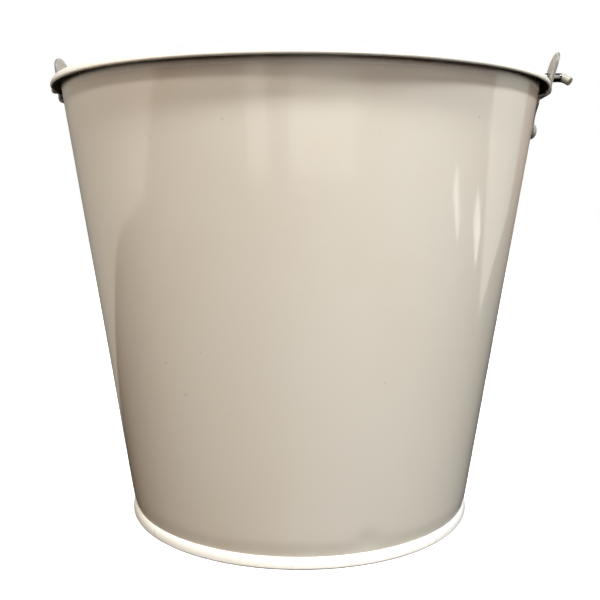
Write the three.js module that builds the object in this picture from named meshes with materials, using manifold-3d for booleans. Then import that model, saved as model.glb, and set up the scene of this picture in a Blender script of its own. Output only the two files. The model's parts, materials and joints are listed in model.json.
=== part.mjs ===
// A florist's bucket: a tapered sheet-steel pail with a curled rim, a seamed-on base and a wire bail.
// Millimetres, +Z up. The origin is the centre of the base on the ground. The two ears stand on the
// X axis, the wall's seam is at the back, on +Y, and the bail lies back on the rear of the rim.
import * as THREE from 'three';
import { mergeVertices } from 'three/addons/utils/BufferGeometryUtils.js';
import Module from 'manifold-3d';

const wasm = await Module();
wasm.setup();

// Driving dimensions of the bucket.
const RIM_RADIUS = 140; // outside of the curled rim
const RIM_HEIGHT = 248; // top of the curled rim
const ROLL_RADIUS = 3.1; // outside of the rim's curl in section
const LIP_END = -20; // where the open curl stops, in degrees round its centre, 0 being outwards
const HEM_RADIUS = 101.1; // outside of the hem round the base
const HEM_HEIGHT = 6.4;
const WALL_FOOT_RADIUS = 100.1; // outer face of the wall where it comes out of the hem
const WALL_FOOT_HEIGHT = 2.1; // bottom edge of the wall, inside the hem
const SHEET = 0.8; // thickness of the wall and base sheet
const GAP = 0.3; // working gap between neighbouring pieces
const FLOOR_HEIGHT = 6.8; // upper face of the recessed base
const SEAM_WIDTH = 9; // folded seam up the back of the wall
const SEAM_RISE = 0.8;

// Driving dimensions of the ears, their rivets and the bail.
const EAR_SHEET = 1.4;
const EAR_HALF_WIDTH = 10;
const EAR_TOP = 266.5;
const EAR_CROWN = 7.5; // height of the rounded top
const EAR_BEND_HEIGHT = 247.5;
const EAR_LEAN = { right: 15, left: 8 }; // degrees outwards
const EAR_DROP = { right: 0.4, left: 2.5 }; // lower bend's centre, below the centre of the curl
const EAR_CLEARANCE = 0.5; // between the rim and the ear
const EAR_HOLE_RADIUS = 3.4;
const TONGUE_HALF_WIDTH = 6;
const RIVET_DROP = 22; // rivet centre below the centre of the roll
const RIVET_SHANK_RADIUS = 2.5;
const RIVET_HEAD_RADIUS = 4.4;
const RIVET_HEAD_HEIGHT = 3;
const RIVET_TAIL_RADIUS = 3.9;
const RIVET_TAIL_HEIGHT = 1.3;
const BAIL_RADIUS = 2.5; // half the wire's diameter
const BAIL_PIVOT_RISE = 7.8; // bail pivot above the centre of the roll
const BAIL_LEG_OFFSET = 135.5; // half the width between the legs' centre lines
const BAIL_CORNER = 4.5; // bend where each leg turns out through its ear

// How each end of the bail is formed outside its ear: a straight run up to `reach`, then a bend of
// `turn` degrees towards `aim` (degrees round the pivot, 0 to the rear and 90 up) and a short tip.
const BAIL_ENDS = {
  right: { reach: 147.4, bend: 6, turn: 50, aim: 225, tip: 2.2 },
  left: { reach: 144, bend: 4, turn: 80, aim: 310, tip: 3 },
};

// Facets round each kind of curve.
const ROUND = 72;
const ROLL_STEPS = 9;
const SMALL_ROUND = 16;

const RADIANS = Math.PI / 180;
const roll = { r: RIM_RADIUS - ROLL_RADIUS, z: RIM_HEIGHT - ROLL_RADIUS };
const rollInside = ROLL_RADIUS - SHEET;
const taper = wallTaper();
const pivotHeight = roll.z + BAIL_PIVOT_RISE;
const rivetHeight = roll.z - RIVET_DROP;

// The wall's outer face runs from its foot to a tangent of the inside of the roll.
function wallTaper() {
  const dr = roll.r - WALL_FOOT_RADIUS;
  const dz = roll.z - HEM_HEIGHT;
  return Math.atan2(dr, dz) - Math.asin(rollInside / Math.hypot(dr, dz));
}

function wallRadius(z, depth = 0) {
  return WALL_FOOT_RADIUS + (z - HEM_HEIGHT) * Math.tan(taper) - depth / Math.cos(taper);
}

function point(x, y) {
  return new THREE.Vector2(x, y);
}

function arc(centre, radius, fromDegrees, toDegrees, steps) {
  const points = [];
  for (let i = 0; i <= steps; i += 1) {
    const angle = (fromDegrees + ((toDegrees - fromDegrees) * i) / steps) * RADIANS;
    points.push(point(centre.x + radius * Math.cos(angle), centre.y + radius * Math.sin(angle)));
  }
  return points;
}

// A solid of revolution about Z from a section of (radius, height) points.
function turned(section, facets = ROUND) {
  return new THREE.LatheGeometry(section, facets).rotateX(Math.PI / 2);
}

// A section closed on itself, for rings.
function ring(section, facets = ROUND) {
  return turned([...section, section[0].clone()], facets);
}

function toSolid(geometry) {
  const bare = geometry.clone();
  bare.deleteAttribute('normal');
  bare.deleteAttribute('uv');
  const merged = mergeVertices(bare, 1e-4);
  return new wasm.Manifold(new wasm.Mesh({
    numProp: 3,
    vertProperties: new Float32Array(merged.attributes.position.array),
    triVerts: new Uint32Array(merged.index.array),
  }));
}

function toGeometry(solid) {
  const mesh = solid.getMesh();
  const geometry = new THREE.BufferGeometry();
  geometry.setAttribute('position', new THREE.BufferAttribute(mesh.vertProperties, 3));
  geometry.setIndex(new THREE.BufferAttribute(mesh.triVerts, 1));
  geometry.computeVertexNormals();
  return geometry;
}

// The wall in section: a tapered sheet whose top edge is curled outwards, over and part of the way down.
function wallSection() {
  const centre = point(roll.r, roll.z);
  const start = 180 - taper / RADIANS;
  return [
    point(wallRadius(WALL_FOOT_HEIGHT, SHEET), WALL_FOOT_HEIGHT),
    point(wallRadius(WALL_FOOT_HEIGHT), WALL_FOOT_HEIGHT),
    ...arc(centre, rollInside, start, LIP_END, ROLL_STEPS),
    ...arc(centre, ROLL_RADIUS, LIP_END, start, ROLL_STEPS),
  ];
}

// The folded seam: a flat band standing a little proud of the wall's outer face, at the back.
function seamBand() {
  const bottom = HEM_HEIGHT + 1;
  const top = roll.z - ROLL_RADIUS - 4;
  const sunk = SHEET / 2;
  const band = new THREE.BoxGeometry(SEAM_WIDTH, SEAM_RISE + sunk, (top - bottom) / Math.cos(taper));
  const middle = (top + bottom) / 2;
  const place = new THREE.Matrix4()
    .makeTranslation(0, wallRadius(middle) + (SEAM_RISE - sunk) / 2, middle)
    .multiply(new THREE.Matrix4().makeRotationX(-taper));
  return toSolid(band.applyMatrix4(place));
}

// A frame whose +Z points out of the wall, square to it, at a rivet.
function rivetFrame(side) {
  const outward = new THREE.Vector3(side * Math.cos(taper), 0, -Math.sin(taper));
  const turn = new THREE.Quaternion().setFromUnitVectors(new THREE.Vector3(0, 0, 1), outward);
  const origin = new THREE.Vector3(side * wallRadius(rivetHeight), 0, rivetHeight);
  return new THREE.Matrix4().compose(origin, turn, new THREE.Vector3(1, 1, 1));
}

function rivetDrill(side) {
  const depth = 12;
  const radius = RIVET_SHANK_RADIUS + GAP;
  const drill = turned([
    point(0, -depth),
    point(radius, -depth),
    point(radius, depth),
    point(0, depth),
  ], SMALL_ROUND);
  return toSolid(drill.applyMatrix4(rivetFrame(side)));
}

function bodyWall() {
  return toGeometry(
    toSolid(ring(wallSection()))
      .add(seamBand())
      .subtract(rivetDrill(1))
      .subtract(rivetDrill(-1)),
  );
}

// The base in section: a recessed disc, a skirt inside the wall and a channel hemmed round its foot.
function basePan() {
  const skirt = (z, depth) => point(wallRadius(z, SHEET + GAP + depth), z);
  const corner = 1.2;
  const shoulder = 0.4;
  const channelRadius = HEM_RADIUS - SHEET;
  return turned([
    point(0, FLOOR_HEIGHT - SHEET),
    point(skirt(FLOOR_HEIGHT, SHEET).x - corner, FLOOR_HEIGHT - SHEET),
    skirt(FLOOR_HEIGHT - SHEET - corner, SHEET),
    skirt(SHEET, SHEET),
    point(skirt(0, SHEET).x + SHEET / 2, 0),
    point(HEM_RADIUS - corner, 0),
    ...arc(point(HEM_RADIUS - corner, corner), corner, -60, 0, 2),
    point(HEM_RADIUS, HEM_HEIGHT - shoulder),
    point(HEM_RADIUS - shoulder, HEM_HEIGHT),
    point(wallRadius(HEM_HEIGHT) + GAP, HEM_HEIGHT),
    point(channelRadius, HEM_HEIGHT - SHEET),
    point(channelRadius, SHEET + GAP),
    point(channelRadius - GAP, SHEET),
    skirt(SHEET, 0),
    skirt(FLOOR_HEIGHT - corner, 0),
    point(skirt(FLOOR_HEIGHT, 0).x - corner, FLOOR_HEIGHT),
    point(0, FLOOR_HEIGHT),
  ]);
}

// The bead of compound that makes the base seam watertight, in the bottom of the channel.
function seamSealant() {
  const bottom = SHEET + GAP;
  const top = WALL_FOOT_HEIGHT - GAP;
  const inner = wallRadius(top, SHEET);
  const outer = HEM_RADIUS - SHEET - 2 * GAP;
  return ring([point(inner, bottom), point(outer, bottom), point(outer, top), point(inner, top)]);
}

// An ear in side view: up outside the rim, leaning out above it; under the rim and down the wall.
function earSideView(lean, drop) {
  const face = RIM_RADIUS + EAR_CLEARANCE;
  const rise = EAR_TOP + 1 - EAR_BEND_HEIGHT;
  const slope = Math.tan(lean * RADIANS);
  const thick = EAR_SHEET / Math.cos(lean * RADIANS);
  const tuck = 1.5; // inside radius of the bend that goes under the rim
  const tuckCentre = point(face - tuck, roll.z - drop);
  const elbow = 1.2; // outside radius of the bend that turns down along the wall
  const elbowHeight = tuckCentre.y - tuck - EAR_SHEET - elbow;
  const tongue = (z, depth) => point(wallRadius(z, -GAP - depth), z);
  const elbowCentre = tongue(elbowHeight, EAR_SHEET + elbow);
  const alongWall = 180 - taper / RADIANS;
  const end = rivetHeight - TONGUE_HALF_WIDTH - 1;
  return new THREE.Shape([
    point(face + rise * slope + thick, EAR_BEND_HEIGHT + rise),
    point(face + rise * slope, EAR_BEND_HEIGHT + rise),
    point(face, EAR_BEND_HEIGHT),
    ...arc(tuckCentre, tuck, 0, -90, 3),
    ...arc(elbowCentre, elbow + EAR_SHEET, 90, alongWall, 4),
    tongue(end, 0),
    tongue(end, EAR_SHEET),
    ...arc(elbowCentre, elbow, alongWall, 90, 4),
    ...arc(tuckCentre, tuck + EAR_SHEET, -90, 0, 5),
    point(face + EAR_SHEET, EAR_BEND_HEIGHT),
  ]);
}

// An ear in front view, flattened on to Y and Z: rounded top, bail hole, and a tongue for the rivet.
function earFrontView() {
  const shoulder = roll.z - 8;
  const crownBase = EAR_TOP - EAR_CROWN;
  const outline = [
    point(TONGUE_HALF_WIDTH, shoulder - 5),
    point(EAR_HALF_WIDTH, shoulder),
    ...arc(point(0, 0), 1, 0, 180, SMALL_ROUND)
      .map((p) => point(p.x * EAR_HALF_WIDTH, crownBase + p.y * EAR_CROWN)),
    point(-EAR_HALF_WIDTH, shoulder),
    point(-TONGUE_HALF_WIDTH, shoulder - 5),
    ...arc(point(0, rivetHeight), TONGUE_HALF_WIDTH, 180, 360, SMALL_ROUND / 2),
  ];
  const view = new THREE.Shape(outline);
  const hole = arc(point(0, pivotHeight + 0.5), EAR_HOLE_RADIUS, 360, 0, SMALL_ROUND + 4).slice(1);
  view.holes.push(new THREE.Path(hole));
  return view;
}

function extruded(shape, depth) {
  return new THREE.ExtrudeGeometry(shape, { depth, bevelEnabled: false, steps: 1 });
}

function ear(side, lean, drop) {
  const width = 4 * EAR_HALF_WIDTH;
  const side2d = extruded(earSideView(lean, drop), width);
  side2d.rotateX(Math.PI / 2).translate(0, width / 2, 0);
  const reach = 60;
  const front2d = extruded(earFrontView(), reach);
  front2d.applyMatrix4(new THREE.Matrix4().makeBasis(
    new THREE.Vector3(0, 1, 0),
    new THREE.Vector3(0, 0, 1),
    new THREE.Vector3(1, 0, 0),
  )).translate(wallRadius(rivetHeight) - reach / 4, 0, 0);
  let solid = toSolid(side2d).intersect(toSolid(front2d)).subtract(rivetDrill(1));
  if (side < 0) {
    solid = solid.mirror([1, 0, 0]);
  }
  return toGeometry(solid);
}

// A round-head rivet: domed head on the ear's tongue, shank through the wall, closed tail inside.
function rivet(side) {
  const seat = 2 * GAP + EAR_SHEET;
  const tailSeat = -SHEET - GAP;
  const dome = arc(point(0, 0), 1, 0, 90, 6)
    .map((p) => point(p.x * RIVET_HEAD_RADIUS, seat + p.y * RIVET_HEAD_HEIGHT));
  dome[dome.length - 1].x = 0;
  const section = [
    point(0, tailSeat - RIVET_TAIL_HEIGHT),
    point(RIVET_TAIL_RADIUS - 1, tailSeat - RIVET_TAIL_HEIGHT),
    point(RIVET_TAIL_RADIUS, tailSeat - RIVET_TAIL_HEIGHT + 0.5),
    point(RIVET_TAIL_RADIUS, tailSeat),
    point(RIVET_SHANK_RADIUS, tailSeat),
    point(RIVET_SHANK_RADIUS, seat),
    ...dome,
  ];
  return turned(section, SMALL_ROUND).applyMatrix4(rivetFrame(side));
}

// The bail's centre line as it lies back: out of the left ear, round the rim and out of the right ear.
class BailCurve extends THREE.Curve {
  constructor() {
    super();
    this.points = [
      ...this.end(-1, BAIL_ENDS.left).reverse(),
      ...this.span(),
      ...this.end(1, BAIL_ENDS.right),
    ];
    this.lengths = [0];
    for (let i = 1; i < this.points.length; i += 1) {
      this.lengths.push(this.lengths[i - 1] + this.points[i].distanceTo(this.points[i - 1]));
    }
  }

  span() {
    const droop = RIM_HEIGHT + GAP + BAIL_RADIUS - pivotHeight;
    const steps = 48;
    const points = [];
    for (let i = 0; i <= steps; i += 1) {
      const angle = Math.PI * (1 - i / steps);
      const back = BAIL_CORNER + (roll.r - BAIL_CORNER) * Math.sin(angle);
      points.push(new THREE.Vector3(
        BAIL_LEG_OFFSET * Math.cos(angle),
        back,
        pivotHeight + (droop * back) / roll.r,
      ));
    }
    return points;
  }

  end(side, form) {
    const points = [];
    const cornerSteps = 4;
    for (let i = 1; i <= cornerSteps; i += 1) {
      const angle = (i / cornerSteps) * 90 * RADIANS;
      points.push(new THREE.Vector3(
        side * (BAIL_LEG_OFFSET + BAIL_CORNER * (1 - Math.cos(angle))),
        BAIL_CORNER * (1 - Math.sin(angle)),
        pivotHeight,
      ));
    }
    const aim = new THREE.Vector3(0, Math.cos(form.aim * RADIANS), Math.sin(form.aim * RADIANS));
    const bent = (along, across) => new THREE.Vector3(side * (form.reach + along), 0, pivotHeight)
      .addScaledVector(aim, across);
    const bendSteps = 5;
    for (let i = 0; i <= bendSteps; i += 1) {
      const angle = (i / bendSteps) * form.turn * RADIANS;
      points.push(bent(form.bend * Math.sin(angle), form.bend * (1 - Math.cos(angle))));
    }
    const turn = form.turn * RADIANS;
    points.push(bent(
      form.bend * Math.sin(turn) + form.tip * Math.cos(turn),
      form.bend * (1 - Math.cos(turn)) + form.tip * Math.sin(turn),
    ));
    return points;
  }

  getPoint(t, target = new THREE.Vector3()) {
    const last = this.points.length - 1;
    const place = Math.min(Math.max(t, 0), 1) * last;
    const index = Math.min(Math.floor(place), last - 1);
    return target.lerpVectors(this.points[index], this.points[index + 1], place - index);
  }

  // Stations are spaced by point rather than by length, so that the tight bends keep their facets.
  getPointAt(t, target) {
    return this.getPoint(t, target);
  }

  getTangentAt(t, target = new THREE.Vector3()) {
    const step = 0.5 / (this.points.length - 1);
    return target.subVectors(this.getPoint(t + step), this.getPoint(t - step)).normalize();
  }
}

function bailWire() {
  const curve = new BailCurve();
  const sides = 10;
  const section = new THREE.Shape(arc(point(0, 0), BAIL_RADIUS, 0, 360, sides).slice(1));
  return new THREE.ExtrudeGeometry(section, {
    extrudePath: curve,
    steps: curve.points.length - 1,
    curveSegments: 1,
    bevelEnabled: false,
  });
}

const enamel = { color: 0xdcd4c7, roughness: 0.28, metalness: 0.0 };
const compound = { color: 0x8d8a84, roughness: 0.8, metalness: 0.0 };

const bucket = new THREE.Group();
const bail = new THREE.Group();
bucket.add(bail);

function addPiece(group, name, geometry, finish) {
  const mesh = new THREE.Mesh(geometry, new THREE.MeshStandardMaterial(finish));
  mesh.name = name;
  group.add(mesh);
}

addPiece(bucket, 'body_wall', bodyWall(), enamel);
addPiece(bucket, 'base_pan', basePan(), enamel);
addPiece(bucket, 'seam_sealant', seamSealant(), compound);
for (const [name, side] of [['right', 1], ['left', -1]]) {
  addPiece(bucket, `ear_${name}`, ear(side, EAR_LEAN[name], EAR_DROP[name]), enamel);
  addPiece(bucket, `rivet_${name}`, rivet(side), enamel);
}
addPiece(bail, 'bail_wire', bailWire(), enamel);

export default bucket;
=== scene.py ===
"""A florist's bucket in cream enamel, on a pale floor under soft overhead light.

Metres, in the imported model's frame: +Z up, origin at the centre of the base, ears on the X axis.
Pieces are turned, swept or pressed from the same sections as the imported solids, at a finer step.
"""

import json
import math

import bpy
from mathutils import Matrix, Vector, noise
from mathutils.geometry import delaunay_2d_cdt


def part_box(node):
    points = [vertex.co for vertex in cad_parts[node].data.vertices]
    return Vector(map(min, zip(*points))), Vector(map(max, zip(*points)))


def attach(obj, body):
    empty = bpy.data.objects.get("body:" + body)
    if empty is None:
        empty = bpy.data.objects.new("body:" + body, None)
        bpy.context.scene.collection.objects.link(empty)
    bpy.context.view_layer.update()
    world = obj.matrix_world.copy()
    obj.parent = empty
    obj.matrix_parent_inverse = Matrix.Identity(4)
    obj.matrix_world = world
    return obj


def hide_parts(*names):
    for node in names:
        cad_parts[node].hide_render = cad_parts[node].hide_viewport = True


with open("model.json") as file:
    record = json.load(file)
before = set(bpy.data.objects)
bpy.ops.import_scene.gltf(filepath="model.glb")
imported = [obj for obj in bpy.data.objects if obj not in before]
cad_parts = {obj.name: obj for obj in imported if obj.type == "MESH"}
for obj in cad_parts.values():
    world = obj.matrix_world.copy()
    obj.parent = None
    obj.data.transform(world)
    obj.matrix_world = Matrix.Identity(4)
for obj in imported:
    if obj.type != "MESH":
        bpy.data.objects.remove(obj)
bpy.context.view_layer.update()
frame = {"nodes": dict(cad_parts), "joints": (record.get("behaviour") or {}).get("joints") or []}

MM = 0.001

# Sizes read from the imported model.
WALL_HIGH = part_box("body_wall")[1]
PAN_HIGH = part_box("base_pan")[1]
EAR_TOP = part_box("ear_right")[1].z
RIM_RADIUS = WALL_HIGH.y
RIM_HEIGHT = WALL_HIGH.z
HEM_RADIUS = PAN_HIGH.y
FLOOR_HEIGHT = PAN_HIGH.z
PIVOT_HEIGHT = frame["joints"][0]["pos_m"][2]

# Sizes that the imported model's boxes don't give.
ROLL_RADIUS = 3.1 * MM
LIP_DROP = 0.6 * MM  # how far the curl's outer half hangs below the roll's centre
LIP_BEND = 1.3 * MM
LIP_TURN = -60
WALL_FOOT_HEIGHT = 2.1 * MM
NECK = 0.5 * MM  # how far the wall is drawn in just above the hem
NECK_WIDTH = 7 * MM
SHEET = 0.8 * MM
GAP = 0.3 * MM
HEM_HEIGHT = 6.4 * MM
WALL_FOOT_RADIUS = 100.1 * MM
SEAM_HALF_WIDTH = 4.5 * MM
SEAM_RISE = 0.8 * MM
EAR_SHEET = 1.4 * MM
EAR_HALF_WIDTH = 10 * MM
EAR_CROWN = 7.5 * MM
EAR_BEND_HEIGHT = 247.5 * MM
EAR_CLEARANCE = 0.5 * MM
EAR_LEAN = {"right": 15, "left": 8}
EAR_DROP = {"right": 0.4 * MM, "left": 2.5 * MM}
EAR_HOLE_RADIUS = 3.4 * MM
EAR_CORNER = 1.5 * MM
EAR_ELBOW = 1.2 * MM
TONGUE_HALF_WIDTH = 6 * MM
RIVET_DROP = 22 * MM
RIVET_HEAD_RADIUS = 4.4 * MM
RIVET_HEAD_HEIGHT = 3 * MM
RIVET_SHANK_RADIUS = 2.5 * MM
RIVET_TAIL_RADIUS = 3.9 * MM
RIVET_TAIL_HEIGHT = 1.3 * MM
BAIL_RADIUS = 2.5 * MM
BAIL_LEG_OFFSET = 135.5 * MM
BAIL_CORNER = 4.5 * MM
BAIL_ENDS = {
    1: {"reach": 147.4 * MM, "bend": 6 * MM, "turn": 50, "aim": 225, "tip": 2.2 * MM},
    -1: {"reach": 144 * MM, "bend": 4 * MM, "turn": 80, "aim": 310, "tip": 3 * MM},
}

ROLL_CENTRE = (RIM_RADIUS - ROLL_RADIUS, RIM_HEIGHT - ROLL_RADIUS)
ROLL_INSIDE = ROLL_RADIUS - SHEET
RIVET_HEIGHT = ROLL_CENTRE[1] - RIVET_DROP
CURL_POWER = 1.8
FACETS = 288

# Softboxes: azimuth from the camera's side, elevation, width and height, power and colour.
LIGHT_DISTANCE = 1.6
CARD_DISTANCE = 2.0
LIGHTS = {
    "key": (0, 64, (0.5, 0.16), 27.5, (0.96, 1.0, 1.0)),
    "high_left": (-30, 48, (0.5, 0.16), 9.5, (1.0, 0.97, 0.93)),
    "high_right": (60, 48, (0.5, 0.16), 21, (0.94, 0.98, 1.0)),
    "low_right": (30, 20, (0.8, 1.0), 9.5, (1.0, 0.97, 0.93)),
    "low_left": (-60, 20, (0.8, 1.0), 6.6, (1.0, 0.80, 0.62)),
    "rear": (180, 35, (0.8, 0.8), 5, (1.0, 0.98, 0.95)),
}
FLOOR_GLOW = 0.72
WORLD_HORIZON = (0.31, 0.20, 0.155)
WORLD_DIM = (0.0, 0.0, 0.0)

# The camera, level with the upper wall, a little to the right of the bucket's front.
CAMERA_DISTANCE = 478.9 * MM
CAMERA_HEIGHT = 183.7 * MM
CAMERA_AZIMUTH = 4.5
CAMERA_PITCH = -7.19
CAMERA_ROLL = 0.11
CAMERA_LENS = 47.9


def wall_taper():
    """The angle of a line from the wall's foot that is tangent to the inside of the roll."""
    dr = ROLL_CENTRE[0] - WALL_FOOT_RADIUS
    dz = ROLL_CENTRE[1] - HEM_HEIGHT
    return math.atan2(dr, dz) - math.asin(ROLL_INSIDE / math.hypot(dr, dz))


TAPER = wall_taper()


def bump(distance, width):
    """A smooth hill, 1 in the middle and 0 beyond the width."""
    t = min(abs(distance) / width, 1)
    return (1 - t * t) ** 2


def wall_radius(z, depth=0.0):
    """The wall's outer face, drawn in a little where it meets the hem."""
    straight = WALL_FOOT_RADIUS + (z - HEM_HEIGHT) * math.tan(TAPER)
    return straight - NECK * bump(z - HEM_HEIGHT, NECK_WIDTH) - depth / math.cos(TAPER)


# ---------------------------------------------------------------- sections and meshes


def arc(centre, radius, start, end, steps):
    """Points round a centre, with the angles in degrees."""
    points = []
    for i in range(steps + 1):
        angle = math.radians(start + (end - start) * i / steps)
        points.append((centre[0] + radius * math.cos(angle), centre[1] + radius * math.sin(angle)))
    return points


def rounded(points, radius, steps=4):
    """The same outline with each inner corner replaced by a short curve."""
    smooth = [points[0]]
    for before, corner, after in zip(points, points[1:], points[2:]):
        a, b, c = Vector(before), Vector(corner), Vector(after)
        reach = min(radius, (a - b).length * 0.45, (c - b).length * 0.45)
        start = b + (a - b).normalized() * reach
        end = b + (c - b).normalized() * reach
        for i in range(steps + 1):
            t = i / steps
            smooth.append(tuple(start * (1 - t) ** 2 + b * 2 * t * (1 - t) + end * t ** 2))
    return smooth + [points[-1]]


def spread(start, end, steps):
    """Points between two section points, without the ends."""
    return [
        (start[0] + (end[0] - start[0]) * i / steps, start[1] + (end[1] - start[1]) * i / steps)
        for i in range(1, steps)
    ]


def add_mesh(name, vertices, faces, sharp=40):
    mesh = bpy.data.meshes.new(name)
    mesh.from_pydata(vertices, [], faces)
    mesh.validate()
    mesh.shade_smooth()
    mesh.set_sharp_from_angle(angle=math.radians(sharp))
    piece = bpy.data.objects.new(name, mesh)
    bpy.context.scene.collection.objects.link(piece)
    return piece


def turned_mesh(section, facets, closed, place=None, shape=None):
    """Vertices and faces of a section turned about Z. Points on the axis become one vertex each."""
    vertices = []
    rows = []
    for r, z in section:
        if r < 1e-7:
            rows.append([len(vertices)] * facets)
            vertices.append(Vector((0, 0, z)))
            continue
        rows.append(list(range(len(vertices), len(vertices) + facets)))
        for k in range(facets):
            angle = 2 * math.pi * k / facets
            vertices.append(Vector((r * math.cos(angle), r * math.sin(angle), z)))
    pairs = list(zip(rows, rows[1:]))
    if closed:
        pairs.append((rows[-1], rows[0]))
    faces = []
    for low, high in pairs:
        for k in range(facets):
            n = (k + 1) % facets
            face = [low[k], low[n], high[n], high[k]]
            face = [v for i, v in enumerate(face) if v not in face[:i]]
            if len(face) > 2:
                faces.append(face)
    if shape:
        vertices = [shape(v) for v in vertices]
    if place:
        vertices = [place @ v for v in vertices]
    return vertices, faces


# ---------------------------------------------------------------- the wall


def dress_wall(v):
    """Folded seam at the back, slight unevenness from rolling the sheet, and one small dent."""
    radius = math.hypot(v.x, v.y)
    if not HEM_HEIGHT + 1 * MM < v.z < ROLL_CENTRE[1] - ROLL_RADIUS - 3 * MM:
        return v
    outer = wall_radius(v.z)
    is_outer = radius > outer - SHEET / 2
    edge = min(v.z - HEM_HEIGHT, ROLL_CENTRE[1] - ROLL_RADIUS - v.z)
    fade = min(max(edge / (25 * MM), 0), 1)
    angle = math.atan2(v.y, v.x)
    wave = noise.noise(Vector((v.x, v.y, v.z * 0.45)) * 18) * 0.16 * MM
    ripple = math.sin(angle * 9 + 0.7) * math.sin(v.z * 21) * 0.05 * MM
    dent_angle = math.radians(-90 + CAMERA_AZIMUTH + 20)
    dent = bump((angle - dent_angle) * radius, 9 * MM) * bump(v.z - 13 * MM, 7 * MM) * 0.5 * MM
    push = (wave + ripple) * fade - dent
    if is_outer:
        across = abs(angle - math.pi / 2) * radius
        top_end = min(max((ROLL_CENTRE[1] - 8 * MM - v.z) / (2 * MM), 0), 1)
        push += SEAM_RISE * min(max((SEAM_HALF_WIDTH - across) / (0.5 * MM), 0), 1) * top_end
    scale = (radius + push) / radius
    return Vector((v.x * scale, v.y * scale, v.z))


def quarter(centre, width, height, power, steps):
    """A quarter of a superellipse, from its widest point up to its top."""
    points = []
    for i in range(steps + 1):
        angle = math.pi / 2 * i / steps
        points.append((
            centre[0] + width * max(math.cos(angle), 0) ** (2 / power),
            centre[1] + height * math.sin(angle) ** (2 / power)))
    return points


def wall_face(depth):
    """Points up one face of the wall, from its foot to just under the curl."""
    steps = 70
    rise = ROLL_CENTRE[1] - ROLL_RADIUS - 1 * MM - WALL_FOOT_HEIGHT
    heights = [WALL_FOOT_HEIGHT + rise * i / steps for i in range(steps + 1)]
    return [(wall_radius(z, depth), z) for z in heights]


def make_wall(enamel, rim_highlight, hollow_shade):
    """One sheet: the tapered wall, with its top edge curled over and part of the way down outside."""
    tangent = 180 - math.degrees(TAPER)
    lip = (ROLL_CENTRE[0], ROLL_CENTRE[1] - LIP_DROP)
    bend = (lip[0] + ROLL_RADIUS - LIP_BEND, lip[1])
    section = (
        wall_face(0)
        + arc(ROLL_CENTRE, ROLL_INSIDE, tangent, 90, 10)
        + quarter(lip, ROLL_INSIDE, LIP_DROP + ROLL_INSIDE, 2, 20)[-2::-1]
        + arc(bend, LIP_BEND - SHEET, 0, LIP_TURN, 6)[1:]
        + arc(bend, LIP_BEND, LIP_TURN, 0, 10)
        + quarter(lip, ROLL_RADIUS, LIP_DROP + ROLL_RADIUS, CURL_POWER, 24)[1:]
        + arc(ROLL_CENTRE, ROLL_RADIUS, 90, tangent, 12)[1:]
        + wall_face(SHEET)[::-1]
    )
    vertices, faces = turned_mesh(section, FACETS, True, shape=dress_wall)
    wall = add_mesh("wall_sheet", vertices, faces)
    for material in (enamel, rim_highlight, hollow_shade):
        wall.data.materials.append(material)
    # Faces of the curl take the rim's painted highlight; those close inside the curl take painted shade.
    for face in wall.data.polygons:
        r = math.hypot(face.center.x, face.center.y)
        from_curl = math.hypot(r - ROLL_CENTRE[0], face.center.z - ROLL_CENTRE[1])
        if face.center.z > lip[1] - LIP_BEND:
            face.material_index = 2 if from_curl < ROLL_INSIDE + 0.15 * MM else 1
    return wall


# ---------------------------------------------------------------- the base


def make_base():
    """The recessed base, its skirt inside the wall and the hem round the wall's foot."""
    def skirt(z, depth=0.0):
        return (wall_radius(z, SHEET + GAP + depth), z)

    corner = 1.2 * MM
    bead_drop = 4.2 * MM
    heel = 1.2 * MM
    channel = HEM_RADIUS - SHEET
    lip = wall_radius(HEM_HEIGHT) + 0.05 * MM
    under = FLOOR_HEIGHT - SHEET
    bead = 84 * MM
    floor_top = [
        (skirt(FLOOR_HEIGHT)[0] - corner, FLOOR_HEIGHT),
        (bead + 3 * MM, FLOOR_HEIGHT),
        (bead + 1.5 * MM, FLOOR_HEIGHT - 0.7 * MM),
        (bead - 1.5 * MM, FLOOR_HEIGHT - 0.7 * MM),
        (bead - 3 * MM, FLOOR_HEIGHT),
        (0, FLOOR_HEIGHT),
    ]
    floor_under = [(r, z - SHEET) for r, z in reversed(floor_top[:-1])]
    section = [
        (0, under),
        *floor_under[:-1],
        (skirt(FLOOR_HEIGHT, SHEET)[0] - corner, under),
        skirt(under - corner, SHEET),
        skirt(SHEET, SHEET),
        (skirt(0, SHEET)[0] + SHEET / 2, 0),
        (HEM_RADIUS - heel, 0),
        *arc((HEM_RADIUS - heel, heel), heel, -75, 0, 8),
        *quarter((lip, HEM_HEIGHT - bead_drop), HEM_RADIUS - lip, bead_drop, CURL_POWER, 14),
        (lip, HEM_HEIGHT - SHEET),
        (channel, HEM_HEIGHT - 2 * SHEET),
        (channel, SHEET + GAP),
        (channel - GAP, SHEET),
        skirt(SHEET),
        skirt(FLOOR_HEIGHT - corner),
        *floor_top,
    ]
    vertices, faces = turned_mesh(rounded(section, 0.3 * MM, 3), FACETS, False)
    return add_mesh("base_hem", vertices, faces, sharp=50)


# ---------------------------------------------------------------- the ears


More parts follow.
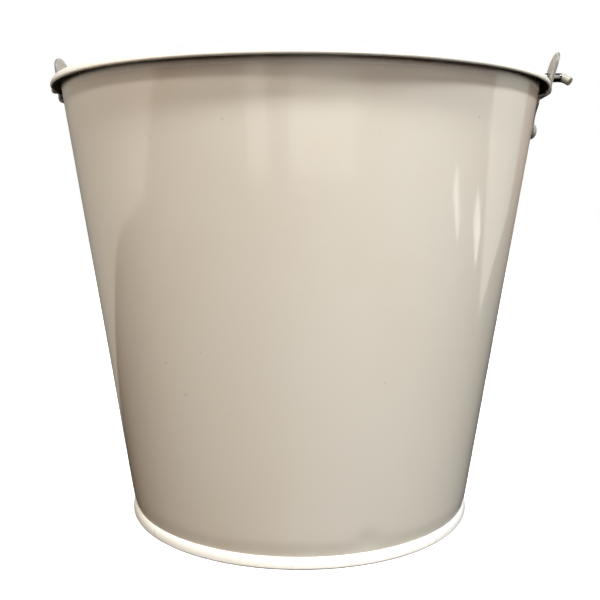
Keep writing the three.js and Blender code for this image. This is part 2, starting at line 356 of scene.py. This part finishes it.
class Strap:
    """The middle line of an ear in side view, from its top to the end of its tongue."""

    def __init__(self, lean, drop):
        middle = EAR_SHEET / 2
        face = RIM_RADIUS + EAR_CLEARANCE + middle
        slope = math.tan(math.radians(lean))
        bend = (face, EAR_BEND_HEIGHT)
        top = (face + (EAR_TOP - EAR_BEND_HEIGHT) * slope, EAR_TOP)
        corner = (RIM_RADIUS + EAR_CLEARANCE - EAR_CORNER, ROLL_CENTRE[1] - drop)
        elbow = EAR_ELBOW + middle
        elbow_height = corner[1] - EAR_CORNER - EAR_SHEET - EAR_ELBOW
        elbow_centre = (self.tongue(elbow_height, EAR_SHEET + EAR_ELBOW), elbow_height)
        end = RIVET_HEIGHT - TONGUE_HALF_WIDTH
        line = rounded([top, bend, (face, corner[1])], 2.5 * MM, 8)
        line += arc(corner, EAR_CORNER + middle, 0, -90, 10)[1:]
        line += arc(elbow_centre, elbow, 90, 180 - math.degrees(TAPER), 10)
        line.append((self.tongue(end, middle), end))
        self.points = [Vector(p) for p in line]
        self.lengths = [0.0]
        for a, b in zip(self.points, self.points[1:]):
            self.lengths.append(self.lengths[-1] + (b - a).length)

    @staticmethod
    def tongue(z, depth):
        return wall_radius(z, -GAP - depth)

    def at(self, distance):
        """The point at a distance down the strap."""
        i = 0
        while i < len(self.lengths) - 2 and self.lengths[i + 1] < distance:
            i += 1
        t = (distance - self.lengths[i]) / (self.lengths[i + 1] - self.lengths[i])
        return self.points[i].lerp(self.points[i + 1], t)

    def distance_to(self, z):
        """How far down the strap it first reaches a height."""
        for i, (a, b) in enumerate(zip(self.points, self.points[1:])):
            if b.y <= z <= a.y and a.y > b.y:
                return self.lengths[i] + (b - a).length * (a.y - z) / (a.y - b.y)
        return self.lengths[-1]


def ear_outline(strap):
    """The ear's flat blank, as points (across, down the strap)."""
    shoulder = strap.distance_to(ROLL_CENTRE[1] - 8 * MM)
    neck = strap.distance_to(ROLL_CENTRE[1] - 13 * MM)
    rivet = strap.distance_to(RIVET_HEIGHT)
    half = [(x, EAR_CROWN * (1 - y)) for x, y in arc((0, 0), 1, 90, 0, 20)]
    half = [(x * EAR_HALF_WIDTH, y) for x, y in half]
    half += spread(half[-1], (EAR_HALF_WIDTH, shoulder - 2 * MM), 20)
    half += rounded([(EAR_HALF_WIDTH, shoulder - 2 * MM), (EAR_HALF_WIDTH, shoulder),
                     (TONGUE_HALF_WIDTH, neck), (TONGUE_HALF_WIDTH, neck + 3 * MM)], 2 * MM, 4)[:-1]
    half += spread(half[-1], (TONGUE_HALF_WIDTH, rivet), 6)
    half += arc((0, rivet), TONGUE_HALF_WIDTH, 0, 90, 10)
    return half + [(-x, y) for x, y in reversed(half[1:-1])]


def inside(p, loop):
    """True where a point lies inside a closed outline."""
    odd = False
    for (x1, y1), (x2, y2) in zip(loop, loop[1:] + loop[:1]):
        if (y1 > p.y) != (y2 > p.y) and p.x < (x2 - x1) * (p.y - y1) / (y2 - y1) + x1:
            odd = not odd
    return odd


def filled_blank(outline, hole, step):
    """A flat outline filled with an even net of triangles. The hole's edge is in the net, but it is filled too."""
    points = [Vector(p) for p in outline + hole]
    ends = len(outline)
    edges = [(i, (i + 1) % ends) for i in range(ends)]
    edges += [(ends + i, ends + (i + 1) % len(hole)) for i in range(len(hole))]
    rim = list(points)
    width = max(p.x for p in rim)
    length = max(p.y for p in rim)
    columns = round(2 * width / step)
    for j in range(1, round(length / step)):
        for i in range(1, columns):
            p = Vector((-width + (i + 0.5 * (j % 2)) * step, j * step))
            clear = min((p - q).length for q in rim) > step * 0.6
            if clear and inside(p, outline) and not inside(p, hole):
                points.append(p)
    triangles_inside_outline = 2
    filled = delaunay_2d_cdt(points, edges, [], triangles_inside_outline, 1e-9)
    return filled[0], filled[2]


def make_ear(side, name, enamel, shaded_edge):
    """A stamped strap: the flat blank is bent along its middle line, thickened and rounded off."""
    strap = Strap(EAR_LEAN[name], EAR_DROP[name])
    hole_centre = (0, strap.distance_to(PIVOT_HEIGHT + EAR_CLEARANCE))
    hole = arc(hole_centre, EAR_HOLE_RADIUS, 0, 360, 40)[:-1]
    flat, faces = filled_blank(ear_outline(strap), hole, 1.1 * MM)
    vertices = []
    for across, along in flat:
        bent = strap.at(along)
        vertices.append((side * bent.x, across, bent.y))
    ear = add_mesh(f"ear_plate_{name}", vertices, faces, sharp=60)
    ear.data.materials.append(enamel)
    # The plate's edges take a darker enamel: painted shade.
    ear.data.materials.append(shaded_edge)
    sheet = ear.modifiers.new("sheet", "SOLIDIFY")
    sheet.thickness = EAR_SHEET
    sheet.offset = 0
    sheet.use_even_offset = True
    sheet.material_offset_rim = 1
    edge = ear.modifiers.new("edge", "BEVEL")
    edge.width = 0.2 * MM
    edge.segments = 2
    edge.limit_method = "ANGLE"
    edge.angle_limit = math.radians(60)
    return ear


# ---------------------------------------------------------------- rivets


def make_rivet(side, name):
    """A domed head outside the ear, a shank through the wall and a flat tail inside."""
    outward = Vector((side * math.cos(TAPER), 0, -math.sin(TAPER)))
    seat = Vector((side * wall_radius(RIVET_HEIGHT), 0, RIVET_HEIGHT))
    place = Matrix.Translation(seat) @ outward.to_track_quat("Z", "X").to_matrix().to_4x4()
    head_seat = 2 * GAP + EAR_SHEET
    tail_seat = -SHEET - GAP
    dome = [(x * RIVET_HEAD_RADIUS, head_seat + y * RIVET_HEAD_HEIGHT)
            for x, y in arc((0, 0), 1, 6, 90, 14)]
    dome[-1] = (0, head_seat + RIVET_HEAD_HEIGHT)
    tail = rounded([
        (0, tail_seat - RIVET_TAIL_HEIGHT),
        (RIVET_TAIL_RADIUS, tail_seat - RIVET_TAIL_HEIGHT),
        (RIVET_TAIL_RADIUS, tail_seat),
        (RIVET_SHANK_RADIUS, tail_seat),
    ], 0.5 * MM, 5)
    section = tail + [(RIVET_SHANK_RADIUS, head_seat), (RIVET_HEAD_RADIUS - GAP, head_seat)] + dome
    vertices, faces = turned_mesh(section, 48, False, place=place)
    return add_mesh(f"round_head_rivet_{name}", vertices, faces, sharp=50)


# ---------------------------------------------------------------- the bail


def bail_end(side, form):
    """The middle line of one end: the turn through the ear, a straight run, a bend and the tip."""
    points = []
    for x, y in arc((0, 0), BAIL_CORNER, 9, 90, 9):
        out = BAIL_LEG_OFFSET + BAIL_CORNER - x
        points.append(Vector((side * out, BAIL_CORNER - y, PIVOT_HEIGHT)))
    aim = Vector((0, math.cos(math.radians(form["aim"])), math.sin(math.radians(form["aim"]))))
    straight = form["reach"] - BAIL_LEG_OFFSET - BAIL_CORNER

    def bent(along, across):
        return Vector((side * (form["reach"] + along), 0, PIVOT_HEIGHT)) + aim * across

    points += [bent(-straight * (1 - i / 5), 0) for i in range(1, 5)]
    for x, y in arc((0, 0), form["bend"], 90, 90 - form["turn"], 12):
        points.append(bent(x, form["bend"] - y))
    last = points[-1]
    heading = (last - points[-2]).normalized()
    points.append(last + heading * form["tip"])
    return points


def bail_line():
    """The bail's middle line at rest: an end, the span lying back on the rear rim, an end."""
    droop = RIM_HEIGHT + GAP + BAIL_RADIUS - PIVOT_HEIGHT
    steps = 180
    span = []
    for i in range(steps + 1):
        angle = math.pi * (1 - i / steps)
        back = BAIL_CORNER + (ROLL_CENTRE[0] - BAIL_CORNER) * math.sin(angle)
        height = PIVOT_HEIGHT + droop * back / ROLL_CENTRE[0]
        span.append(Vector((BAIL_LEG_OFFSET * math.cos(angle), back, height)))
    return bail_end(-1, BAIL_ENDS[-1])[::-1] + span + bail_end(1, BAIL_ENDS[1])


def swept_mesh(line, radius, sides, edge):
    """A round bar along a line, its ends finished with a small rounded edge."""
    heads = []
    for i in range(len(line)):
        heads.append((line[min(i + 1, len(line) - 1)] - line[max(i - 1, 0)]).normalized())
    across = heads[0].orthogonal().normalized()
    rings = []
    for point, head in zip(line, heads):
        across = (across - head * across.dot(head)).normalized()
        rings.append((point, head, across))
    finish = [(edge * (1 - math.cos(a)), radius - edge * (1 - math.sin(a)))
              for a in (0, math.radians(30), math.radians(60), math.radians(90))]
    bands = []
    for inset, r in finish:
        point, head, side = rings[0]
        bands.append((point + head * inset, head, side, r))
    bands += [(p, h, s, radius) for p, h, s in rings[1:-1]]
    for inset, r in reversed(finish):
        point, head, side = rings[-1]
        bands.append((point - head * inset, head, side, r))
    vertices = []
    for point, head, side, r in bands:
        other = head.cross(side)
        for k in range(sides):
            angle = 2 * math.pi * k / sides
            vertices.append(point + side * (r * math.cos(angle)) + other * (r * math.sin(angle)))
    faces = []
    for b in range(len(bands) - 1):
        for k in range(sides):
            n = (k + 1) % sides
            faces.append([b * sides + k, b * sides + n, (b + 1) * sides + n, (b + 1) * sides + k])
    faces.append(list(range(sides))[::-1])
    faces.append([(len(bands) - 1) * sides + k for k in range(sides)])
    return vertices, faces


def make_bail():
    vertices, faces = swept_mesh(bail_line(), BAIL_RADIUS, 28, 0.5 * MM)
    return add_mesh("bail_handle", vertices, faces, sharp=50)


# ---------------------------------------------------------------- materials


class Shader:
    """A small helper that adds and joins nodes in one material."""

    def __init__(self, name):
        self.material = bpy.data.materials.new(name)
        self.material.use_nodes = True
        self.tree = self.material.node_tree
        self.surface = self.tree.nodes["Principled BSDF"]

    def add(self, kind, **values):
        node = self.tree.nodes.new(kind)
        for key, value in values.items():
            if hasattr(node, key):
                setattr(node, key, value)
            else:
                node.inputs[key.replace("_", " ")].default_value = value
        return node

    def link(self, source, target):
        self.tree.links.new(source, target)

    def coordinates(self):
        return self.add("ShaderNodeTexCoord").outputs["Object"]

    def noise(self, scale, detail=3.0, roughness=0.5, stretch=(1, 1, 1)):
        mapping = self.add("ShaderNodeMapping")
        mapping.inputs["Scale"].default_value = stretch
        self.link(self.coordinates(), mapping.inputs["Vector"])
        texture = self.add("ShaderNodeTexNoise", Scale=scale, Detail=detail, Roughness=roughness)
        self.link(mapping.outputs["Vector"], texture.inputs["Vector"])
        return texture.outputs["Fac"]

    def ramp(self, source, stops):
        node = self.add("ShaderNodeValToRGB")
        elements = node.color_ramp.elements
        while len(elements) < len(stops):
            elements.new(0.5)
        for element, (place, colour) in zip(elements, stops):
            element.position = place
            element.color = (*colour, 1) if isinstance(colour, tuple) else (colour,) * 3 + (1,)
        self.link(source, node.inputs["Fac"])
        return node.outputs["Color"]

    def span(self, source, low, high, from_low=0.0, from_high=1.0):
        node = self.add("ShaderNodeMapRange")
        self.link(source, node.inputs["Value"])
        limits = {"From Min": from_low, "From Max": from_high, "To Min": low, "To Max": high}
        for key, value in limits.items():
            node.inputs[key].default_value = value
        return node.outputs["Result"]

    def mix(self, factor, a, b):
        node = self.add("ShaderNodeMix", data_type="RGBA")
        self.link(factor, node.inputs["Factor"])
        for source, socket in ((a, node.inputs[6]), (b, node.inputs[7])):
            if isinstance(source, tuple):
                socket.default_value = (*source, 1)
            else:
                self.link(source, socket)
        return node.outputs[2]

    def bump(self, layers):
        """Stacks (height, strength, distance) layers into the surface's normal."""
        normal = None
        for height, strength, distance in layers:
            node = self.add("ShaderNodeBump", Strength=strength, Distance=distance)
            self.link(height, node.inputs["Height"])
            if normal:
                self.link(normal, node.inputs["Normal"])
            normal = node.outputs["Normal"]
        self.link(normal, self.surface.inputs["Normal"])


# Enamel colours, each as warm, plain and cool.
WALL_ENAMEL = ((0.71, 0.645, 0.55), (0.72, 0.665, 0.575), (0.72, 0.67, 0.59))
# Paler copy of the cream enamel for the rim's curl: a painted highlight where the light from above falls on it.
RIM_HIGHLIGHT_ENAMEL = ((0.80, 0.76, 0.68), (0.82, 0.78, 0.705), (0.83, 0.79, 0.72))
# Paler still for the hem round the base: a painted highlight.
HEM_HIGHLIGHT_ENAMEL = ((0.94, 0.90, 0.82), (0.95, 0.92, 0.86), (0.95, 0.93, 0.88))
# Darker copy for the ears and rivets: painted shade.
SHADED_FITTING_ENAMEL = ((0.34, 0.312, 0.275), (0.36, 0.337, 0.305), (0.37, 0.348, 0.318))
# Darker still for the ears' cut edges: painted shade, so that they don't catch the light.
SHADED_EDGE_ENAMEL = ((0.14, 0.128, 0.113), (0.15, 0.14, 0.127), (0.155, 0.146, 0.133))
# Near-black painted shade for inside the rim's curl and the pocket behind each ear's strap.
HOLLOW_SHADE = (0.045, 0.039, 0.033)


def enamel_material(name, colours, gloss, shade_pocket=None):
    """Cream stoving enamel: faint colour drift, orange peel, rub marks and specks, and painted shade in a pocket
    where one is given.
    """
    s = Shader(name)
    warm, plain, cool = colours
    drift = s.ramp(s.noise(14, 4), [(0.3, warm), (0.5, plain), (0.7, cool)])
    specks = s.ramp(s.noise(300, 0), [(0.88, 0.0), (0.91, 0.6)])
    colour = s.mix(specks, drift, (0.55, 0.48, 0.40))
    # Painted shade in the pocket between the ear's strap and the wall.
    if shade_pocket:
        colour = s.mix(shade_pocket_mask(s, *shade_pocket), colour, HOLLOW_SHADE)
    s.link(colour, s.surface.inputs["Base Color"])
    rubs = s.noise(60, 6, 0.7, (1, 1, 0.12))
    s.link(s.span(rubs, *gloss, 0.3, 0.7), s.surface.inputs["Roughness"])
    s.bump([(s.noise(500, 2), 0.03, 0.0002), (s.noise(90, 2), 0.07, 0.0005)])
    return s.material


def shade_pocket_mask(s, low, high, reach):
    """1 between two heights and within a distance of the middle of the bucket along X: where the painted shade
    goes.
    """
    place = s.add("ShaderNodeSeparateXYZ")
    s.link(s.coordinates(), place.inputs["Vector"])
    out = s.add("ShaderNodeMath", operation="ABSOLUTE")
    s.link(place.outputs["X"], out.inputs[0])
    sides = (
        s.span(place.outputs["Z"], 0, 1, low, low + 0.1 * MM),
        s.span(place.outputs["Z"], 1, 0, high, high + 0.1 * MM),
        s.span(out.outputs[0], 1, 0, reach, reach + 0.1 * MM),
    )
    mask = sides[0]
    for side in sides[1:]:
        product = s.add("ShaderNodeMath", operation="MULTIPLY")
        s.link(mask, product.inputs[0])
        s.link(side, product.inputs[1])
        mask = product.outputs[0]
    return mask


def hollow_shade_material():
    """Painted shade inside the curl of the rim: near-black, with a faint mottle."""
    s = Shader("painted_shade_hollow")
    shade_mottle = s.ramp(s.noise(400, 4), [(0.3, HOLLOW_SHADE), (0.75, (0.09, 0.08, 0.07))])
    s.link(shade_mottle, s.surface.inputs["Base Color"])
    s.link(s.span(s.noise(300, 3), 0.45, 0.7), s.surface.inputs["Roughness"])
    s.bump([(s.noise(800, 3), 0.2, 0.0002)])
    return s.material


def bail_material():
    """Enamel darkened as painted shade, rubbed through to steel where the wire turns in each ear."""
    bare_from, bare_to, fade = 140.5 * MM, 149.4 * MM, 0.2 * MM
    s = Shader("cream_enamel_shaded_rubbed")
    place = s.add("ShaderNodeSeparateXYZ")
    s.link(s.coordinates(), place.inputs["Vector"])
    out = s.add("ShaderNodeMath", operation="ABSOLUTE")
    s.link(place.outputs["X"], out.inputs[0])
    ragged = s.add("ShaderNodeMath", operation="MULTIPLY_ADD")
    s.link(s.noise(900, 3), ragged.inputs[0])
    ragged.inputs[1].default_value = 1.2 * MM
    s.link(out.outputs[0], ragged.inputs[2])
    inner = s.span(ragged.outputs[0], 0, 1, bare_from, bare_from + fade)
    outer = s.span(ragged.outputs[0], 1, 0, bare_to, bare_to + fade)
    bare = s.add("ShaderNodeMath", operation="MULTIPLY")
    s.link(inner, bare.inputs[0])
    s.link(outer, bare.inputs[1])
    # The enamel's darker tone is painted shade; the steel band is real wear.
    drift = s.ramp(s.noise(30, 3), [(0.3, (0.30, 0.274, 0.233)), (0.7, (0.33, 0.304, 0.263))])
    steel = s.ramp(s.noise(260, 4), [(0.3, (0.16, 0.155, 0.14)), (0.7, (0.36, 0.35, 0.33))])
    s.link(s.mix(bare.outputs[0], drift, steel), s.surface.inputs["Base Color"])
    s.link(bare.outputs[0], s.surface.inputs["Metallic"])
    s.link(s.span(bare.outputs[0], 0.5, 0.22), s.surface.inputs["Roughness"])
    s.bump([(s.noise(700, 2), 0.15, 0.0002), (bare.outputs[0], -0.5, 0.0001)])
    return s.material


def sealant_material():
    """Matt grey seam compound."""
    s = Shader("seam_compound")
    s.link(s.ramp(s.noise(150, 4), [(0.3, (0.36, 0.35, 0.33)), (0.7, (0.46, 0.45, 0.43))]),
           s.surface.inputs["Base Color"])
    s.surface.inputs["Roughness"].default_value = 0.8
    s.bump([(s.noise(500, 3), 0.3, 0.0004)])
    return s.material


def floor_material():
    """A pale sweep, lit from within where it is far off, so that it stays white round the bucket."""
    s = Shader("pale_floor")
    s.link(s.ramp(s.noise(3, 2), [(0.3, (0.84, 0.84, 0.84)), (0.7, (0.88, 0.88, 0.88))]),
           s.surface.inputs["Base Color"])
    s.surface.inputs["Roughness"].default_value = 0.9
    s.surface.inputs["Emission Color"].default_value = (1, 1, 1, 1)
    distance = s.add("ShaderNodeVectorMath", operation="LENGTH")
    s.link(s.coordinates(), distance.inputs[0])
    glow = s.span(distance.outputs["Value"], FLOOR_GLOW, 1.0, 0.3, 1.5)
    s.link(glow, s.surface.inputs["Emission Strength"])
    return s.material


# ---------------------------------------------------------------- stage, light and camera


def make_stage():
    """A wide pale floor, and a white dome behind it that only the camera sees."""
    floor = add_mesh("floor", [(-6, -6, 0), (6, -6, 0), (6, 6, 0), (-6, 6, 0)], [[0, 1, 2, 3]])
    floor.data.materials.append(floor_material())
    dome_section = arc((0, 0), 7, -12, 90, 16)
    dome_section[-1] = (0, 7)
    dome = add_mesh("dome", *turned_mesh(dome_section, 48, False))
    glow = bpy.data.materials.new("white_dome")
    glow.use_nodes = True
    glow.node_tree.nodes.clear()
    emission = glow.node_tree.nodes.new("ShaderNodeEmission")
    output = glow.node_tree.nodes.new("ShaderNodeOutputMaterial")
    glow.node_tree.links.new(emission.outputs["Emission"], output.inputs["Surface"])
    dome.data.materials.append(glow)
    dome.visible_diffuse = False
    dome.visible_glossy = False
    dome.visible_transmission = False
    dome.visible_shadow = False
    floor.visible_diffuse = False
    floor.visible_glossy = False


def toward(azimuth, elevation):
    """A direction: azimuth 0 is the camera's side, positive to the right."""
    turn = math.radians(azimuth + CAMERA_AZIMUTH - 90)
    rise = math.radians(elevation)
    return Vector((math.cos(rise) * math.cos(turn), math.cos(rise) * math.sin(turn), math.sin(rise)))


def make_card(name, columns, glow, far_glow=None):
    """A curved studio card that only shows in the gloss, from columns of (azimuth, bottom, top).

    Its glow changes evenly to far_glow, where one is given, between its first and last columns.
    """
    vertices = []
    along = []
    span = columns[-1][0] - columns[0][0]
    for (a, low_a, high_a), (b, low_b, high_b) in zip(columns, columns[1:]):
        steps = max(1, round(abs(b - a) / 4))
        for i in range(steps + 1):
            t = i / steps
            angle = math.radians(a + (b - a) * t - 90)
            x, y = CARD_DISTANCE * math.cos(angle), CARD_DISTANCE * math.sin(angle)
            vertices.append((x, y, low_a + (low_b - low_a) * t))
            vertices.append((x, y, high_a + (high_b - high_a) * t))
            along += [(a + (b - a) * t - columns[0][0]) / span] * 2
    faces = [[i, i + 2, i + 3, i + 1] for i in range(0, len(vertices) - 2, 2)]
    mesh = bpy.data.meshes.new(name)
    mesh.from_pydata(vertices, [], faces)
    mesh.attributes.new("along", "FLOAT", "POINT").data.foreach_set("value", along)
    card = bpy.data.objects.new(name, mesh)
    bpy.context.scene.collection.objects.link(card)
    material = bpy.data.materials.new(name)
    material.use_nodes = True
    material.node_tree.nodes.clear()
    emission = material.node_tree.nodes.new("ShaderNodeEmission")
    blend = material.node_tree.nodes.new("ShaderNodeMixRGB")
    blend.inputs["Color1"].default_value = (*glow, 1)
    blend.inputs["Color2"].default_value = (*(far_glow or glow), 1)
    place = material.node_tree.nodes.new("ShaderNodeAttribute")
    place.attribute_name = "along"
    material.node_tree.links.new(place.outputs["Fac"], blend.inputs["Fac"])
    material.node_tree.links.new(blend.outputs["Color"], emission.inputs["Color"])
    output = material.node_tree.nodes.new("ShaderNodeOutputMaterial")
    material.node_tree.links.new(emission.outputs["Emission"], output.inputs["Surface"])
    mesh.materials.append(material)
    card.visible_camera = False
    card.visible_diffuse = False
    card.visible_transmission = False
    card.visible_shadow = False


def make_cards():
    """What the gloss reflects: tall walls left and right, two low panes in front, two small glints."""
    top = 1.2
    make_card(
        "card_left", [(-60, 0.1, top), (-75, -0.2, top), (-100, -0.2, top), (-165, -0.7, top)],
        (1.65, 1.6, 1.4), (0.0, 0.0, 0.0))
    make_card(
        "card_right", [(100, 0.1, top), (120, -0.4, top), (135, 0.0, 0.1)],
        (1.5, 1.5, 1.35), (0.6, 0.6, 0.52))
    make_card("card_front_left", [(-20, -0.3, 0.0), (-10, -0.3, 0.1)], (1.2, 1.2, 1.05))
    make_card("card_front_right", [(0, -0.3, 0.0), (30, -0.3, 0.0)], (1.25, 1.25, 1.1))
    make_card("glint_upper", [(82, -0.2, -0.1), (90, -0.3, -0.25)], (3.3, 3.2, 2.9))
    make_card("glint_lower", [(100, -0.2, -0.1), (108, -0.3, -0.2)], (3.3, 3.2, 2.9))


def make_world():
    """Warm light from all round at the level of the horizon, and none from above or below."""
    world = bpy.data.worlds.new("soft_horizon")
    bpy.context.scene.world = world
    world.use_nodes = True
    nodes, links = world.node_tree.nodes, world.node_tree.links
    place = nodes.new("ShaderNodeTexCoord")
    split = nodes.new("ShaderNodeSeparateXYZ")
    height = nodes.new("ShaderNodeMapRange")
    height.inputs["From Min"].default_value = -1
    ramp = nodes.new("ShaderNodeValToRGB")
    links.new(place.outputs["Generated"], split.inputs["Vector"])
    links.new(split.outputs["Z"], height.inputs["Value"])
    links.new(height.outputs["Result"], ramp.inputs["Fac"])
    links.new(ramp.outputs["Color"], nodes["Background"].inputs["Color"])
    levels = (0.0, 0.4, 0.5, 0.6, 1.0)
    stops = [(level, WORLD_HORIZON if level == 0.5 else WORLD_DIM) for level in levels]
    while len(ramp.color_ramp.elements) < len(stops):
        ramp.color_ramp.elements.new(0.5)
    for element, (level, colour) in zip(ramp.color_ramp.elements, stops):
        element.position = level
        element.color = (*colour, 1)


def make_lights():
    """Softboxes in a ring, each aimed at the middle of the bucket."""
    aim = Vector((0, 0, 0.13))
    for name, (azimuth, elevation, size, power, colour) in LIGHTS.items():
        light = bpy.data.lights.new(name, "AREA")
        light.shape = "RECTANGLE"
        light.size, light.size_y = size
        light.energy = power
        light.color = colour
        lamp = bpy.data.objects.new(name, light)
        lamp.location = aim + toward(azimuth, elevation) * LIGHT_DISTANCE
        lamp.rotation_euler = (aim - lamp.location).to_track_quat("-Z", "Y").to_euler()
        bpy.context.scene.collection.objects.link(lamp)


def make_camera():
    azimuth = math.radians(CAMERA_AZIMUTH)
    camera = bpy.data.cameras.new("camera")
    camera.lens = CAMERA_LENS
    camera.sensor_width = 36
    holder = bpy.data.objects.new("camera", camera)
    holder.location = (
        CAMERA_DISTANCE * math.sin(azimuth), -CAMERA_DISTANCE * math.cos(azimuth), CAMERA_HEIGHT)
    turn = (
        Matrix.Rotation(azimuth, 4, "Z")
        @ Matrix.Rotation(math.radians(90 + CAMERA_PITCH), 4, "X")
        @ Matrix.Rotation(math.radians(CAMERA_ROLL), 4, "Z")
    )
    holder.rotation_euler = turn.to_euler()
    bpy.context.scene.collection.objects.link(holder)
    bpy.context.scene.camera = holder


# ---------------------------------------------------------------- the bucket


def fit(piece, body, node, material=None):
    """Finishes a piece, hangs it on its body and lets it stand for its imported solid."""
    if material:
        piece.data.materials.append(material)
    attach(piece, body)
    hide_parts(node)


def dress_node(node, material):
    """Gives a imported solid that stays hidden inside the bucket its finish."""
    slots = frame["nodes"][node].data.materials
    slots.clear()
    slots.append(material)


make_camera()
make_stage()
make_world()
make_cards()
make_lights()

enamel = enamel_material("cream_enamel", WALL_ENAMEL, (0.05, 0.11))
# Paler copies of the enamel for the hem and the rim's curl: painted highlights.
hem_highlight_enamel = enamel_material("painted_highlight_hem", HEM_HIGHLIGHT_ENAMEL, (0.25, 0.35))
rim_highlight_enamel = enamel_material("painted_highlight_rim", RIM_HIGHLIGHT_ENAMEL, (0.2, 0.3))
fit(make_wall(enamel, rim_highlight_enamel, hollow_shade_material()), "bucket", "body_wall")
fit(make_base(), "bucket", "base_pan", hem_highlight_enamel)
for side, name in ((1, "right"), (-1, "left")):
    ledge = ROLL_CENTRE[1] - EAR_DROP[name] - EAR_CORNER - EAR_SHEET / 2
    shade_pocket = (ledge, ROLL_CENTRE[1] + 1 * MM, RIM_RADIUS + EAR_CLEARANCE + EAR_SHEET / 2)
    # The ears and rivets take a darker copy of the enamel as painted shade, with painted shade in the pocket
    # behind each strap.
    shaded_fitting_enamel = enamel_material(f"cream_enamel_{name}", SHADED_FITTING_ENAMEL, (0.3, 0.4), shade_pocket)
    shaded_edge_enamel = enamel_material(f"painted_shade_edge_{name}", SHADED_EDGE_ENAMEL, (0.4, 0.5), shade_pocket)
    fit(make_ear(side, name, shaded_fitting_enamel, shaded_edge_enamel), "bucket", f"ear_{name}")
    fit(make_rivet(side, name), "bucket", f"rivet_{name}", shaded_fitting_enamel)
fit(make_bail(), "bail", "bail_wire", bail_material())
dress_node("seam_sealant", sealant_material())

bpy.context.scene.view_settings.view_transform = "Standard"
